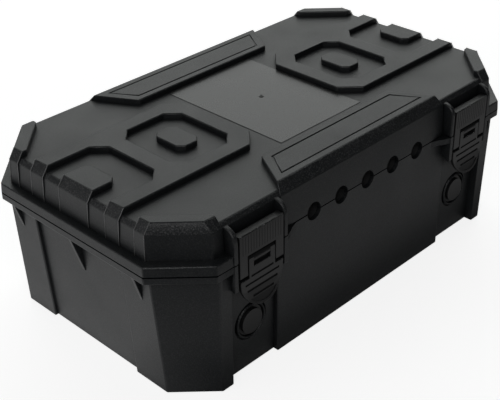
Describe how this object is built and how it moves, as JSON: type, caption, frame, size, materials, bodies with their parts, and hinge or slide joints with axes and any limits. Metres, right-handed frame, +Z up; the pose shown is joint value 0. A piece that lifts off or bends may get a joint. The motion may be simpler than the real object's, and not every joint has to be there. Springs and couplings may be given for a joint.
{
  "type": "latched weather-resistant cable case",
  "caption": "Octagonal drafted plastic tub with a hinged relief-topped lid, split cable ports along the front and two lever latches.",
  "frame": {"origin": "centre of the tub's flat underside", "axes": "+X along the length, -Y to the front with the ports and latches, +Z up to the lid's top"},
  "size_m": [0.318, 0.1944, 0.112],
  "materials": {
    "shell_plastic": "fine spark-eroded grain",
    "latch_plastic": "satin",
    "plug_plastic": "satin",
    "label_plastic": "smooth",
    "seal_rubber": "matt elastomer",
    "pin_steel": "drawn"
  },
  "bodies": {
    "tub": {"base_shell": "shell_plastic", "base_port_seal": "seal_rubber", "tub_gasket": "seal_rubber", "hinge_pin_left": "pin_steel", "hinge_pin_right": "pin_steel", "keeper_pin_left": "pin_steel", "keeper_pin_right": "pin_steel", "blanking_plug_left": "plug_plastic", "blanking_plug_right": "plug_plastic", "plug_seal_left": "seal_rubber", "plug_seal_right": "seal_rubber"},
    "lid": {"lid_shell": "shell_plastic", "lid_port_seal": "seal_rubber", "lid_label_plate": "label_plastic", "link_pin_left": "pin_steel", "link_pin_right": "pin_steel"},
    "left_link": {"latch_link_left": "latch_plastic", "lever_pin_left": "pin_steel"},
    "left_lever": {"latch_lever_left": "latch_plastic"},
    "right_link": {"latch_link_right": "latch_plastic", "lever_pin_right": "pin_steel"},
    "right_lever": {"latch_lever_right": "latch_plastic"}
  },
  "joints": [
    {"name": "lid_hinge", "type": "hinge", "parent": "tub", "child": "lid", "pos_m": [0, 0.0962, 0.0842], "axis": [-1, 0, 0], "range_deg": [0, 110]},
    {"name": "left_latch_swing", "type": "hinge", "parent": "lid", "child": "left_link", "pos_m": [-0.098, -0.0884, 0.0976], "axis": [-1, 0, 0], "range_deg": [0, 95]},
    {"name": "left_lever_flip", "type": "hinge", "parent": "left_link", "child": "left_lever", "pos_m": [-0.098, -0.0892, 0.082], "axis": [-1, 0, 0], "range_deg": [0, 100]},
    {"name": "right_latch_swing", "type": "hinge", "parent": "lid", "child": "right_link", "pos_m": [0.098, -0.0884, 0.0976], "axis": [-1, 0, 0], "range_deg": [0, 95]},
    {"name": "right_lever_flip", "type": "hinge", "parent": "right_link", "child": "right_lever", "pos_m": [0.098, -0.0892, 0.082], "axis": [-1, 0, 0], "range_deg": [0, 100]}
  ]
}
